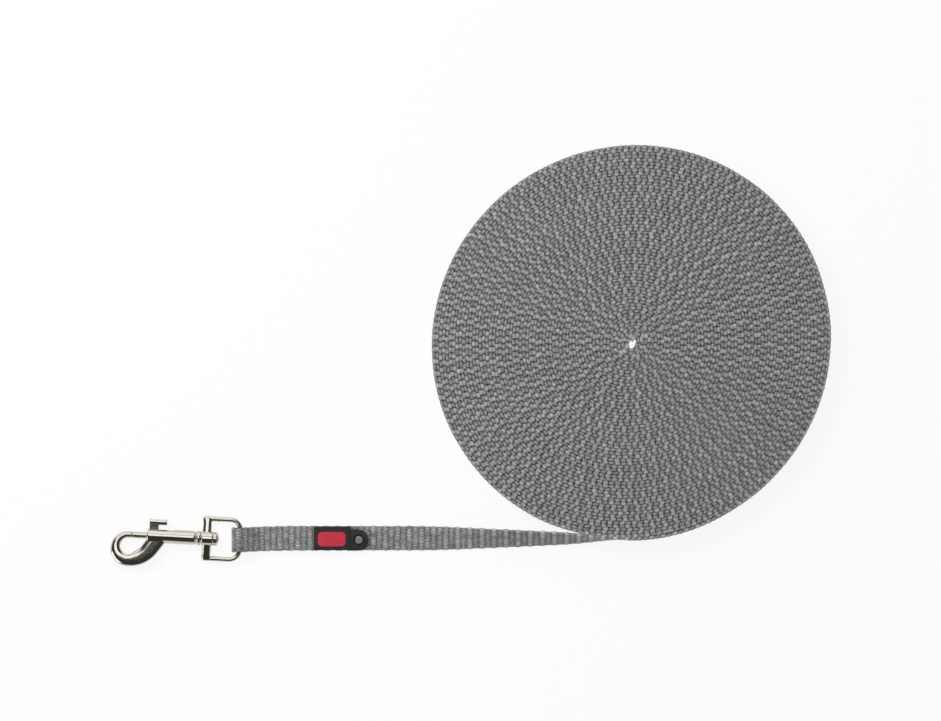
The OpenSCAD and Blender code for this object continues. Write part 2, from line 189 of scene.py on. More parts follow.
# %% [markdown]
# The picture is lit like a catalogue shot. A key lamp close by, behind and to the left, gives most
# of the light, so the right side of the coil is a little darker. A weak fill stands in front, and
# neither of the two shows in the metal. Two soft boxes are there for the metal, one overhead and a
# wide one low behind, with a dark gap between them. Round metal then shows a bright upper half with
# one dark line in it, and a dark lower half. A card at the front left shows only in the metal, and
# whitens the outside of the hook's bow.

# %% Light
scene = bpy.context.scene
scene.view_settings.view_transform = "Standard"


def soft_box(name, place, size, brightness):
    """A rectangular lamp aimed at the middle of the part, given as the brightness of its face."""
    lamp = bpy.data.lights.new(name, "AREA")
    lamp.shape = "RECTANGLE"
    lamp.size, lamp.size_y = size
    lamp.energy = brightness * math.pi * size[0] * size[1]
    made = bpy.data.objects.new(name, lamp)
    made.location = place
    made.rotation_euler = (-Vector(place)).to_track_quat("-Z", "Y").to_euler()
    scene.collection.objects.link(made)
    return made


soft_box("overhead_box", place=(-0.3, 0.5, 2.3), size=(0.8, 1.0), brightness=1.6)
soft_box("back_box", place=(-0.48, 1.8, 1.35), size=(2.6, 1.75), brightness=1.35)
key = soft_box("key_lamp", place=(-0.42, 0.3, 0.6), size=(0.4, 0.4), brightness=9.0)
fill = soft_box("front_fill", place=(0.4, -1.7, 1.5), size=(1.5, 1.0), brightness=1.8)
for lamp in (key, fill):
    lamp.visible_camera = lamp.visible_glossy = False
card = soft_box("left_card", place=(-1.55, -0.95, 0.85), size=(1.4, 1.5), brightness=2.0)
card.visible_diffuse = False
print("lamps", len(bpy.data.lights))

# %% [markdown]
# Metal mirrors everything around it, also what the picture doesn't show. A world that is pale along
# the horizon and dark overhead stands in for the walls of a white room.

# %% Surroundings
horizon_grey = 0.9
overhead_grey = 0.05
pale_until = 0.14
dark_from = 0.4
world = bpy.data.worlds.new("studio")
world.use_nodes = True
scene.world = world
tree = world.node_tree
tree.nodes.clear()
way = add_node(tree, "ShaderNodeTexCoord").outputs["Generated"]
height = add_node(tree, "ShaderNodeSeparateXYZ", {0: way}).outputs["Z"]
band = add_node(tree, "ShaderNodeValToRGB", {0: height})
band.color_ramp.elements[0].position = pale_until
band.color_ramp.elements[0].color = (horizon_grey, horizon_grey, horizon_grey, 1)
band.color_ramp.elements[1].position = dark_from
band.color_ramp.elements[1].color = (overhead_grey, overhead_grey, overhead_grey, 1)
sky = add_node(tree, "ShaderNodeBackground", {"Color": band, "Strength": 1})
add_node(tree, "ShaderNodeOutputWorld", {"Surface": sky})
print("a world that is pale up to a height of", pale_until)

# %% [markdown]
# The floor is white paper. A real one would have to be overexposed to turn as white as it is in the
# picture, and the leash with it. So the camera, and what mirrors and glass show, get part of the
# floor's white as a plain glow. The rest is lit as usual, which keeps a faint shadow.

# %% Floor
floor_half = 5
glow_share = 0.9
bm = bmesh.new()
bmesh.ops.create_grid(bm, x_segments=1, y_segments=1, size=floor_half)
floor_mesh = bpy.data.meshes.new("paper_floor")
bm.to_mesh(floor_mesh)
bm.free()
floor = bpy.data.objects.new("paper_floor", floor_mesh)
scene.collection.objects.link(floor)

paper = bpy.data.materials.new("matt white paper")
paper.use_nodes = True
tree = paper.node_tree
shader = tree.nodes["Principled BSDF"]
shader.inputs["Base Color"].default_value = (0.9, 0.9, 0.9, 1)
shader.inputs["Roughness"].default_value = 0.9
shader.inputs["Specular IOR Level"].default_value = 0.1
ray = add_node(tree, "ShaderNodeLightPath").outputs
seen = ray["Is Camera Ray"]
for kind in ("Is Glossy Ray", "Is Transmission Ray"):
    seen = add_node(tree, "ShaderNodeMath", {0: seen, 1: ray[kind]}, operation="MAXIMUM")
share = add_node(tree, "ShaderNodeMath", {0: seen, 1: glow_share}, operation="MULTIPLY")
glow = add_node(tree, "ShaderNodeEmission", {"Color": (1, 1, 1, 1), "Strength": 1})
surface = tree.nodes["Material Output"].inputs["Surface"]
add_node(tree, "ShaderNodeMixShader", {0: share, 1: shader, 2: glow}, to=surface)
floor_mesh.materials.append(paper)
print("a floor of", 2 * floor_half, "m")

# %% [markdown]
# The webbing is a ribbed polyester tape: the cross threads are thick cords, the long threads float
# over them, and every second rib stands a little higher. From above it reads as rows of short pale
# dashes with dark valleys between. Both the shape and the colour follow one formula for the height
# of the weave, so the valleys are painted dark exactly where they are deep: their colour holds the
# shade that falls in them. A bent, stretched or doubled strap shows its ribs differently, so each
# stretch of the leash has a look of its own, partly painted light and shade for how it faces the
# lamps.

# %% Weave of the strap
rib_pitch = 2.42
rib_round = 0.6
float_pitch = 1.176
float_share = 0.45
# Places on a rib that are paler than others: how much, and over how many ribs and millimetres
uneven_tone = 0.5
uneven_ribs = 0.73
uneven_floats = 0.4
# How much lower every second rib is, and how pale the ribs are: doubled, flat, leaning and wound.
# Both carry painted light and shade: every second rib is also painted darker, most where the strap
# leans, as the shade of raking light, and the leaning and wound strap are painted paler than the
# flat and doubled strap, which face the overhead light.
doubled_ribs = (0.04, 0.67)
flat_ribs = (0.04, 0.73)
leaning_ribs = (0.24, 1.2)
wound_ribs = (0.1, 1.1)


def weave(along, across, pairing, paleness_and_painted_light):
    """Height and tone of the woven face, 0 in a valley to 1 on a rib; the tone paints shade into valleys.
    """
    number = math.floor(along / rib_pitch + 0.5)
    crest = math.cos(math.pi * (along / rib_pitch - number)) ** rib_round
    low = 1 - pairing * (number % 2)
    yarn = 0.5 + 0.5 * math.cos(math.tau * (across / float_pitch + 0.5 * (number % 2)))
    height = crest * low * (1 - float_share + float_share * yarn)
    uneven = noise.noise(Vector((number * uneven_ribs, across * uneven_floats, 0)))
    # The tone follows the height, so the valleys and the lower ribs are darker as painted shade.
    return height, height * low * (paleness_and_painted_light + uneven_tone * uneven)


print("ribs", rib_pitch, "mm apart, floats", float_pitch, "mm")

# %% [markdown]
# A strip of webbing is one grid of points: a column for each place along the strap, and a row for
# each place round its section. A function that is handed in says where a point of the strap lies,
# so the same grid can be wound, twisted or folded. The first and the last row meet in a seam, which
# is welded, and the ends are closed. The tone of the weave, which follows its height and holds the
# painted shade of valleys and grooves, is kept as an attribute for the finish.

# %% Helper that weaves a strip
rib_depth = 0.24
edge_dip = 0.32
edge_scallop = 0.1
edge_top = 0.9
shoulder = 0.97


def strap_outline(count):
    """Places round the strap's section: across it and through it, each from -1 to 1."""
    across = [-shoulder + 2 * shoulder * i / (count - 1) for i in range(count)]
    upper = [(a, 1) for a in across]
    lower = [(a, -1) for a in reversed(across)]
    return upper + [(1, 0.5), (1, -0.5)] + lower + [(-1, -0.5), (-1, 0.5)]


def woven_strip(
    stations, outline, place, ribs, thickness=strap_t, depth=rib_depth, scallop=edge_scallop,
    dip=edge_dip, groove=0
):
    """A grid with a column for each station along the strap, wrapped round the strap's section."""
    bm = bmesh.new()
    uv = bm.loops.layers.uv.new("strap")
    rib = bm.verts.layers.float.new("rib")
    rows, columns = len(outline), len(stations)
    bmesh.ops.create_grid(bm, x_segments=columns - 1, y_segments=rows, size=1)
    bm.verts.index_update()
    for index, vert in enumerate(bm.verts):
        row, column = divmod(index, columns)
        across, through = outline[row % rows]
        height, tone = weave(stations[column], across * strap_w / 2, *ribs(stations[column]))
        thick = thickness / 2 - depth * (1 - height)
        ahead = stations[column] / rib_pitch
        swell = scallop * math.cos(math.pi * ahead) - dip * (1 - height)
        vert.co = place(stations[column], across * (strap_w / 2 + swell * across ** 4), through * thick)
        # Near the top edge the tone is painted darker towards the grooves between turns, as shade.
        vert[rib] = tone * (1 - groove * abs(through)) if edge_top < across < 1 else tone
    girth = [0]
    for i in range(rows):
        (a, b), (c, d) = outline[i], outline[(i + 1) % rows]
        girth.append(girth[-1] + math.hypot((c - a) * strap_w / 2, (d - b) * strap_t / 2))
    for face in bm.faces:
        for loop in face.loops:
            row, column = divmod(loop.vert.index, columns)
            loop[uv].uv = (stations[column] * mm, girth[row] * mm)
    seam = list(bm.verts)[:columns] + list(bm.verts)[-columns:]
    bmesh.ops.remove_doubles(bm, verts=seam, dist=1e-5)
    bmesh.ops.holes_fill(bm, edges=[edge for edge in bm.edges if edge.is_boundary])
    return bm


# %% [markdown]
# Every piece goes through the same last steps: its bmesh becomes an object at the origin, gets its
# finish, and is told which body it rides on and which solid it hides.

# %% Helper that finishes a piece


def finish_piece(name, bm, finish, body, hides=(), place=Matrix(), sharp=None):
    """Turns a bmesh into a finished piece of the leash."""
    bmesh.ops.transform(bm, matrix=place, verts=bm.verts)
    bmesh.ops.recalc_face_normals(bm, faces=bm.faces)
    mesh = bpy.data.meshes.new(name)
    bm.to_mesh(mesh)
    bm.free()
    mesh.materials.append(finish)
    mesh.shade_smooth()
    if sharp:
        mesh.set_sharp_from_angle(angle=math.radians(sharp))
    piece = bpy.data.objects.new(name, mesh)
    scene.collection.objects.link(piece)
    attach(piece, body)
    if hides:
        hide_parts(*hides)
    print(name, len(mesh.polygons), "faces")
    return piece


# %% [markdown]
# Polyester webbing is matt, with a faint sheen from its filaments. The colour runs from a dark
# valley to a pale float along the weave's own height, which paints the shade of the valleys into the
# colour. A speckle as wide as a yarn breaks that up, with slow changes of tone along the length and
# fine streaks of filament that follow the strap. Those are about 0.15 mm wide on the real strap, and
# are drawn twice as wide so that they still show.

# %% Finish: woven polyester


def new_finish(name):
    """A material, its node tree and the sockets of its standard shader."""
    made = bpy.data.materials.new(name)
    made.use_nodes = True
    return made, made.node_tree, made.node_tree.nodes["Principled BSDF"].inputs


def polyester_webbing():
    """Ribbed polyester tape: matt grey floats on valleys painted darker as shade, streaked by filaments.
    """
    made, tree, look = new_finish("woven polyester webbing")
    along = add_node(tree, "ShaderNodeUVMap", uv_map="strap")
    rib = add_node(tree, "ShaderNodeAttribute", attribute_name="rib").outputs["Fac"]
    lengthwise = add_node(tree, "ShaderNodeMapping", {0: along, "Scale": (0.15, 1, 1)})
    filament = add_node(tree, "ShaderNodeTexNoise", {0: lengthwise, "Scale": 1 / (0.3 * mm), "Detail": 3})
    speckle = add_node(tree, "ShaderNodeTexNoise", {0: along, "Scale": 1 / (0.8 * mm), "Detail": 2})
    tone = add_node(tree, "ShaderNodeTexNoise", {0: along, "Scale": 1 / (25 * mm), "Detail": 1})
    level = -0.57
    for part, weight in ((filament, 0.3), (speckle, 0.95), (tone, 0.15), (rib, 0.76)):
        level = add_node(tree, "ShaderNodeMath", {0: part, 1: weight, 2: level}, operation="MULTIPLY_ADD")
    # From the painted shade of a valley to a pale float.
    stops = ((0.05, "#363736"), (0.9, "#bcbebc"))
    shades = add_node(tree, "ShaderNodeValToRGB", {0: level}, stops, look["Base Color"])
    shades.color_ramp.elements.new(0.42).color = hex_colour("#7e807e")
    bump = {"Height": filament, "Strength": 0.35, "Distance": 0.12 * mm}
    add_node(tree, "ShaderNodeBump", bump, to=look["Normal"])
    look["Roughness"].default_value = 0.78
    look["Sheen Weight"].default_value = 0.12
    look["Sheen Roughness"].default_value = 0.5
    return made


webbing = polyester_webbing()
print("finish", webbing.name)

# %% [markdown]
# The coil is the strap itself, wound on its edge from the outside in. A curve with a bevel would
# also wind, but a grid keeps the weave. A spiral of constant pitch takes up a known length, so the
# angle of the winding at each rib follows from a square root. Hand winding is never perfect: the
# whole is a little oval, the turns wander, and the innermost are squeezed flat.

# %% Winding
start_r = coil_r - strap_t / 2
inner_r = 1.55
turn_pitch = math.pi * (start_r ** 2 - inner_r ** 2) / wound_len
last_turn = math.tau * (start_r - inner_r) / turn_pitch
# How far the innermost turn slips inwards, and how soon the outermost takes on the coil's shape
slip = 0.15
lead_in = 40
# The whole coil: its growth, its oval, a bulge where the strap runs in, and its place
spread = 1.0054
oval = 0.0148
oval_way = math.radians(32)
bulge = 0.005
bulge_way = math.radians(-115)
bulge_reach = math.radians(22)
coil_shift = Vector((-0.35, -0.17, 0))
# The innermost turns: how flat and how far aside they are, and over what distance that fades
squeeze = 0.4
squeeze_way = math.radians(62)
squeeze_reach = 4
hole_shift = Vector((1.4, -0.3, 0))
# How far the turns wander and rise, and over what distance or angle that changes
wander = 0.12
wander_len = 14
edge_lift = 0.08
lift_len = 9
lift_turn = 7


def coil_place(along, across, through):
    """A point of the winding, at a distance along the strap, across it and outwards from its middle."""
    wound = max(along - coil_x, 0)
    turn_r = math.sqrt(max(start_r ** 2 - turn_pitch * wound / math.pi, 0))
    turn = math.tau / turn_pitch * (start_r - turn_r)
    r = start_r - turn_pitch * turn / math.tau + through
    r -= slip * min(max((turn - last_turn) / math.pi + 2, 0), 1)
    where = Vector((r * math.sin(turn), -r * math.cos(turn), 0))
    drift = noise.noise(where / wander_len) * wander
    lift = noise.noise(Vector((where.x / lift_len, where.y / lift_len, turn / lift_turn))) * edge_lift
    way = math.atan2(where.y, where.x)
    near = math.exp(-max(r - inner_r, 0) / squeeze_reach)
    stretch = spread + oval * math.cos(2 * (way - oval_way))
    stretch += squeeze * near * math.cos(2 * (way - squeeze_way))
    stretch += bulge * math.exp(-((way - bulge_way) / bulge_reach) ** 2) + drift / r
    loose = min(1, wound / lead_in)
    where = where * (1 + (stretch - 1) * loose) + coil_shift * loose + hole_shift * near
    return where + Vector((
        coil_x + min(along - coil_x, 0),
        coil_r - strap_t / 2,
        strap_w / 2 + across + lift * (0.5 + across / strap_w),
    ))


print("turns", round(last_turn / math.tau, 1), "at", round(turn_pitch, 2), "mm")

# %% [markdown]
# From above, the inner turns show only their edge. So five points round the section are enough,
# three of them for the rounded edge, and three columns a rib, for its two sides and the valley
# behind it. The turns are drawn to touch below, so no light comes up between them, and the weave is
# painted darker in the grooves where two turns meet, as the shade that falls there.

# %% Wound strap
outer_turns = 1.03
outer_r = start_r - turn_pitch * outer_turns
outer_end = coil_x + math.pi * (start_r ** 2 - outer_r ** 2) / turn_pitch
wound_end = coil_x + wound_len
inner_len = 90
inner_step = rib_pitch / 6
end_rest = 1
rib_columns = (-0.22, 0.22, 0.5)
wound_stations = [outer_end]
first_rib = math.ceil(outer_end / rib_pitch + 0.5)
last_rib = math.floor((wound_end - inner_len) / rib_pitch)
for number in range(first_rib, last_rib):
    wound_stations += [(number + share) * rib_pitch for share in rib_columns]
while wound_stations[-1] < wound_end - end_rest:
    wound_stations.append(wound_stations[-1] + inner_step)

touch = 1.04
half_turn = turn_pitch * touch / 2


def wound_place(along, across, through):
    """A point of an inner turn, which meets its neighbours in the lower half."""
    return coil_place(along, across, math.copysign(half_turn, through) if across < 0 else through)


foot = 0.96
edge_outline = [(-foot, 1), (shoulder, 1), (1, 0), (shoulder, -1), (-foot, -1)]
# The groove setting is how much shade is painted into the grooves between turns.
coil_look = {
    "ribs": lambda along: wound_ribs, "thickness": 1.56, "depth": 0.31, "scallop": 0, "dip": 0.34,
    "groove": 0.46,
}
bm = woven_strip(wound_stations, edge_outline, wound_place, **coil_look)
coil = finish_piece("wound_strap", bm, webbing, "strap", ["strap_coil"], on_strap, sharp=50)

# %% [markdown]
# The outermost turn is the only one whose broad side shows. It is a piece of its own with more rows
# and columns, so that the weave runs all the way down its outer face.

# %% Outermost turn
steps_per_rib = 8
fine_step = rib_pitch / steps_per_rib
outer_steps = round((outer_end - run_end) / fine_step)
outer_stations = [run_end + (outer_end - run_end) * i / outer_steps for i in range(outer_steps + 1)]
wall_rows = 26
wall = [(-foot + (foot + shoulder) * i / (wall_rows - 1), 1) for i in range(wall_rows)]


def outer_place(along, across, through):
    """A point of the outermost turn, which shows its woven face all the way down."""
    return coil_place(along, across, through if through > 0 or across > 0 else -half_turn)


bm = woven_strip(outer_stations, wall + edge_outline[2:], outer_place, **coil_look)
outer = finish_piece("outer_turn", bm, webbing, "strap", (), on_strap, sharp=50)

# %% [markdown]
# Between the coil and the sewn end the strap turns from on edge to flat while one of its edges
# stays on the surface. It repeats the route that its solid has, as a list of leans along the way,
# softened between the points.

# %% Free stretch of strap
blur = 2.5


def lean_at(distance):
    """Lean of the strap in radians at a distance from the coil."""
    def straight(d):
        d = min(max(d, 0), run_len)
        before = max(p for p in run_route if p[0] <= d)
        after = min(p for p in run_route if p[0] >= d)
        span = after[0] - before[0]
        return before[1] + (after[1] - before[1]) * (d - before[0]) / span if span else before[1]
    return math.radians((straight(distance - blur) + straight(distance) + straight(distance + blur)) / 3)


strap_lift = bar_z - fold_mid_r - strap_t / 2


def run_place(along, across, through):
    """A point of the free stretch, which leans over as it nears the coil."""
    lean = lean_at(coil_x - along)
    height = math.sin(lean) * strap_w / 2 + math.cos(lean) * (strap_t / 2 + strap_lift)
    return Vector((
        along,
        math.cos(lean) * across - math.sin(lean) * through,
        height + math.sin(lean) * across + math.cos(lean) * through,
    ))


def run_ribs(along):
    """The look of the ribs on the free stretch: the more it leans, the more painted shade on every second
    rib and painted light on the whole.
    """
    share = math.sin(lean_at(coil_x - along))
    return [flat + (leaning - flat) * share for flat, leaning in zip(flat_ribs, leaning_ribs)]


face_rows = 34
face_outline = strap_outline(face_rows)
run_steps = round((run_end - end_len) / fine_step)
run_stations = [end_len + (run_end - end_len) * i / run_steps for i in range(run_steps + 1)]
bm = woven_strip(run_stations, face_outline, run_place, run_ribs)
run = finish_piece("free_strap", bm, webbing, "strap", ["strap_run"], on_strap)
run_path = [on_strap @ run_place(along, 0, 0) for along in run_stations[::steps_per_rib] + [run_end]]

# %% [markdown]
# At the hook the strap is folded round the eye's bar and sewn down on itself. Seen from the side
# that is a straight layer on the surface, most of a circle round the bar, a slope, a small bend and
# the tail on top. The doubled part is pulled tight by its seams and looks a little darker.

# %% Sewn strap end
fold_len = fold_mid_r * (math.pi + fold_slope)
kink_x = (fold_mid_r + kink_mid_r) * math.sin(fold_slope) + slope_len * math.cos(fold_slope)
kink_len = kink_mid_r * fold_slope
label_x = 29.4
loop_reach = 2.95
droop = 0.6
droop_len = 26


def fold_place(along, across, through):
    """A point of the sewn end. Past the bar's foot the distance along the strap is negative."""
    past = -along
    if past < 0:
        spot, heading = Vector((along, strap_lift + strap_t / 2)), math.pi
    elif past < fold_len:
        angle = 1.5 * math.pi - past / fold_mid_r
        wide = loop_reach if math.cos(angle) < 0 else fold_mid_r
        spot = Vector((wide * math.cos(angle), bar_z + fold_mid_r * math.sin(angle)))
        heading = angle - math.pi / 2
    elif past < fold_len + slope_len:
        start = Vector((fold_mid_r * math.sin(fold_slope), bar_z + fold_mid_r * math.cos(fold_slope)))
        heading = -fold_slope
        spot = start + (past - fold_len) * Vector((math.cos(heading), math.sin(heading)))
    elif past < fold_len + slope_len + kink_len:
        heading = (past - fold_len - slope_len) / kink_mid_r - fold_slope
        spot = Vector((kink_x + kink_mid_r * math.sin(heading), kink_z - kink_mid_r * math.cos(heading)))
    else:
        spot = Vector((kink_x + past - fold_len - slope_len - kink_len, tail_z - strap_t / 2))
        heading = 0
    aside = droop * min(max(spot.x / droop_len, 0) - 1, 0) ** 2
    return Vector((
        spot.x + through * math.sin(heading), across - aside, spot.y - through * math.cos(heading)
    ))


tail_along = -(fold_len + slope_len + kink_len + tail_end - kink_x)
end_steps = round((end_len - tail_along) / fine_step)
end_stations = [end_len + (tail_along - end_len) * i / end_steps for i in range(end_steps + 1)]
bm = woven_strip(
    end_stations, face_outline, fold_place, lambda along: doubled_ribs if along < label_x else flat_ribs
)
sewn_end = finish_piece("sewn_strap_end", bm, webbing, "strap", ["strap_end"], on_strap)
print("sewn end takes", round(end_len - tail_along, 1), "mm of strap")

# %% [markdown]
# Two bar tacks hold the fold: one close to the eye and one at the label, each a row of tight
# stitches across the strap. A stitch is a short piece of two-ply thread that dips into the webbing
# at both ends. A sphere pulled long gives that dip, and turning its section into two lobes that
# wind round each other gives the ply.

# %% Stitches
thread_d = 0.42
thread_flat = 0.9
stitch_step = 0.9
ply_turns = 1.5
ply_depth = 0.14


def stitch_row(bm, x, z, length, count):
    """A row of stitches across the strap, each lying along it on the face at height z."""
    for i in range(count):
        made = bmesh.ops.create_uvsphere(bm, u_segments=12, v_segments=10, radius=0.5)["verts"]
        bmesh.ops.rotate(bm, verts=made, cent=(0, 0, 0), matrix=Matrix.Rotation(math.pi / 2, 3, "Y"))
        for vert in made:
            twist = 2 * (math.atan2(vert.co.z, vert.co.y) + math.tau * ply_turns * vert.co.x)
            lobe = 1 + ply_depth * math.cos(twist)
            vert.co = (vert.co.x, vert.co.y * lobe, vert.co.z * lobe)
        spot = Vector((x + length / 2, (i - (count - 1) / 2) * stitch_step, z))
        shape = Matrix.Translation(spot) @ Matrix.Diagonal((length, thread_d, thread_d * thread_flat, 1))
        bmesh.ops.transform(bm, matrix=shape, verts=made)


# %% [markdown]
# Sewing thread is twisted polyester: a little brighter and smoother than the webbing, with a soft
# shine on each turn of the ply. The black seam of the label uses the same thread in black.

# %% Finish: sewing thread


def sewing_thread(name, dark, pale):
    """Twisted polyester thread: fine pale streaks on a darker ground, slightly shiny."""
    made, tree, look = new_finish(name)
    place = add_node(tree, "ShaderNodeTexCoord").outputs["Object"]
    fibre = add_node(tree, "ShaderNodeTexNoise", {0: place, "Scale": 1 / (0.12 * mm), "Detail": 3})
    add_node(tree, "ShaderNodeValToRGB", {0: fibre}, ((0.3, dark), (0.7, pale)), look["Base Color"])
    bump = {"Height": fibre, "Strength": 0.3, "Distance": 0.05 * mm}
    add_node(tree, "ShaderNodeBump", bump, to=look["Normal"])
    look["Roughness"].default_value = 0.6
    look["Sheen Weight"].default_value = 0.1
    return made


grey_thread = sewing_thread("grey polyester thread", "#7d7e7e", "#b9baba")
black_thread = sewing_thread("black polyester thread", "#121214", "#343438")
print("finishes", grey_thread.name, "and", black_thread.name)

# %% [markdown]
# Each tack is one row of stitches, nearly as wide as the strap. One lies where the fold has come
# down next to the eye, and the other shows just in front of the label, at the end of the tail.

# %% Bar tacks
tack_l = 1.5
tack_count = 10
eye_tack_gap = 1
tail_tack_gap = 0.6
tacks = [
    ("eye_bar_tack", "eye_bartack", kink_x + eye_tack_gap),
    ("tail_bar_tack", "tail_bartack", label_x - tack_l - tail_tack_gap),
]
for name, node, x in tacks:
    bm = bmesh.new()
    stitch_row(bm, x, tail_z, tack_l, tack_count)
    finish_piece(name, bm, grey_thread, "strap", [node], on_strap)

# %% [markdown]
# Label tape is woven so densely that it looks like satin, with a cross-hatch of very fine threads.
# Waves along it and waves across it multiply to that hatch, and noise breaks it up. The same finish
# serves for the black tape and, in red, for the field on it.

# %% Finish: label tape
# Distance in metres between the bands of a wave node whose scale is 1, nearly
wave_band = 2 / 6.28


def woven_tape(name, ground, thread, pick):
    """Damask-woven label tape: a dense satin face with a fine cross-hatch of threads."""
    made, tree, look = new_finish(name)
    place = add_node(tree, "ShaderNodeTexCoord").outputs["Object"]
    bands = {0: place, "Scale": wave_band / (pick * mm), "Distortion": 0.6}
    warp = add_node(tree, "ShaderNodeTexWave", bands, bands_direction="X").outputs["Fac"]
    weft = add_node(tree, "ShaderNodeTexWave", bands, bands_direction="Y").outputs["Fac"]
    hatch = add_node(tree, "ShaderNodeMath", {0: warp, 1: weft}, operation="MULTIPLY")
    fibre = add_node(tree, "ShaderNodeTexNoise", {0: place, "Scale": 1 / (0.5 * mm), "Detail": 4})
    level = add_node(tree, "ShaderNodeMath", {0: fibre, 1: 0.9, 2: hatch}, operation="MULTIPLY_ADD")
    add_node(tree, "ShaderNodeValToRGB", {0: level}, ((0.25, ground), (1.0, thread)), look["Base Color"])
    bump = {"Height": hatch, "Strength": 0.4, "Distance": 0.08 * mm}
    add_node(tree, "ShaderNodeBump", bump, to=look["Normal"])
    look["Roughness"].default_value = 0.6
    look["Sheen Weight"].default_value = 0.1
    return made


black_tape = woven_tape("black damask label tape", "#121214", "#2a2a2c", pick=0.4)
red_tape = woven_tape("red damask label field", "#a81d34", "#d2324b", pick=0.4)
print("finishes", black_tape.name, "and", red_tape.name)

# %% [markdown]
# The label is a stiff black woven tape with its ends turned under, laid over the place where the
# strap's tail and the rubber tab meet. Its seams pull its ends down, so it is crowned a little. It
# is a flat box with round corners and soft upper edges from a bevel. That box is cut into a grid
# before it is crowned, because a flat face has no points in its middle that could rise.

# %% Label
label_l = 14.6
label_w = 9.6
label_t = 0.35


def round_edges(bm, edges, radius, segments=4):
    """Rounds some edges of a shape."""
    bmesh.ops.bevel(
        bm, geom=edges, offset=radius, offset_type="OFFSET", segments=segments, profile=0.5,
        affect="EDGES", material=-1,
    )


def soft_plate(length, width, low, high, corner, edge, cuts):
    """A plate with round corners and soft upper edges, cut into a grid so that it can be bent."""
    bm = bmesh.new()
    bmesh.ops.create_cube(bm, size=1)
    shape = Matrix.Translation((0, 0, (low + high) / 2)) @ Matrix.Diagonal((length, width, high - low, 1))
    bmesh.ops.transform(bm, matrix=shape, verts=bm.verts)
    upright = [e for e in bm.edges if abs(e.verts[0].co.z - e.verts[1].co.z) > (high - low) / 2]
    round_edges(bm, upright, corner, 8)
    round_edges(bm, [e for e in bm.edges if all(v.co.z > (low + high) / 2 for v in e.verts)], edge)
    for axis in (Vector((1, 0, 0)), Vector((0, 1, 0))):
        reach = length if axis.x else width
        for i in range(1, cuts):
            bmesh.ops.bisect_plane(
                bm, geom=list(bm.verts) + list(bm.edges) + list(bm.faces),
                plane_co=axis * (i / cuts - 0.5) * reach, plane_no=axis,
            )
    return bm


label_crown = 0.18


def crown(x, y):
    """How far the label bulges at a place on it."""
    return label_crown * math.cos(math.pi * x / label_l) * math.cos(math.pi * y / label_w)


bm = soft_plate(label_l, label_w, low=0, high=label_t, corner=0.6, edge=0.16, cuts=16)
for vert in bm.verts:
    vert.co.z += crown(vert.co.x, vert.co.y) if vert.co.z > label_t / 2 else 0
at_label = on_strap @ Matrix.Translation((label_x + label_l / 2, 0, tail_z))
finish_piece("woven_label", bm, black_tape, "strap", ["label_band"], at_label)

# %% [markdown]
# A plain red field is woven into the label. It is a thinner plate on the first one that follows its
# crown. The label is sewn down at both ends, with the stitches of the bar tacks in black.

# %% Label field and seams
patch_l = 11.2
patch_w = 5.8
patch_t = 0.25
patch_shift = -0.4
seam_l = 0.9
seam_inset = 0.6
bm = soft_plate(patch_l, patch_w, low=label_t, high=label_t + patch_t, corner=1.6, edge=0.2, cuts=12)
for vert in bm.verts:
    vert.co.z += crown(vert.co.x, vert.co.y)
at_field = at_label @ Matrix.Translation((0, patch_shift, 0))
finish_piece("label_field", bm, red_tape, "strap", ["label_patch"], at_field)

bm = bmesh.new()
for x in (seam_inset, label_l - seam_inset - seam_l):
    stitch_row(bm, label_x + x, tail_z + label_t, seam_l, tack_count)
finish_piece("label_seams", bm, black_thread, "strap", ["label_stitching"], on_strap)

# %% [markdown]
# The hard pieces are made of a few kinds of shape. A turned part is a profile spun round an axis.
# Cuts and joins are booleans. A casting is remeshed into one skin at the end and smoothed, which
# gives it the soft inner corners that a bevel could not find along such joins.

# %% Helpers for turned and combined shapes


def turned(profile, steps=64):
    """A solid of revolution about X, from points of distance along X and radius."""
    bm = bmesh.new()
    verts = [bm.verts.new((x, 0, r)) for x, r in profile]
    edges = [bm.edges.new(pair) for pair in zip(verts, verts[1:])]
    bmesh.ops.spin(
        bm, geom=verts + edges, cent=(0, 0, 0), axis=(1, 0, 0), angle=math.tau, steps=steps,
        use_merge=True,
    )
    bmesh.ops.remove_doubles(bm, verts=bm.verts, dist=1e-4)
    bmesh.ops.recalc_face_normals(bm, faces=bm.faces)
    return bm


def drill(start, end, radius, steps=48):
    """A plain cylinder along X, to cut or to fill a bore."""
    return turned([(start, 0), (start, radius), (end, radius), (end, 0)], steps)


def rounded(x, r, radius, turn_from, turn_to, count=5):
    """Points on a quarter round of a profile, whose centre is (x, r)."""
    turns = [math.radians(turn_from + (turn_to - turn_from) * i / count) for i in range(count + 1)]
    return [(x + radius * math.cos(turn), r + radius * math.sin(turn)) for turn in turns]


def rough_object(bm):
    """A plain object in millimetres, for modifiers to work on."""
    mesh = bpy.data.meshes.new("rough")
    bm.to_mesh(mesh)
    bm.free()
    made = bpy.data.objects.new("rough", mesh)
    scene.collection.objects.link(made)
    return made


def settle(rough):
    """Puts what an object's modifiers make into its mesh."""
    shaped = bpy.data.meshes.new_from_object(rough.evaluated_get(bpy.context.evaluated_depsgraph_get()))
    rough.modifiers.clear()
    rough.data = shaped


def combine(rough, bm, operation):
    """Joins another closed shape to an object, or cuts it out."""
    tool = rough_object(bm)
    step = rough.modifiers.new("combine", "BOOLEAN")
    step.solver = "EXACT"
    step.operation = operation
    step.object = tool
    settle(rough)
    bpy.data.objects.remove(tool)


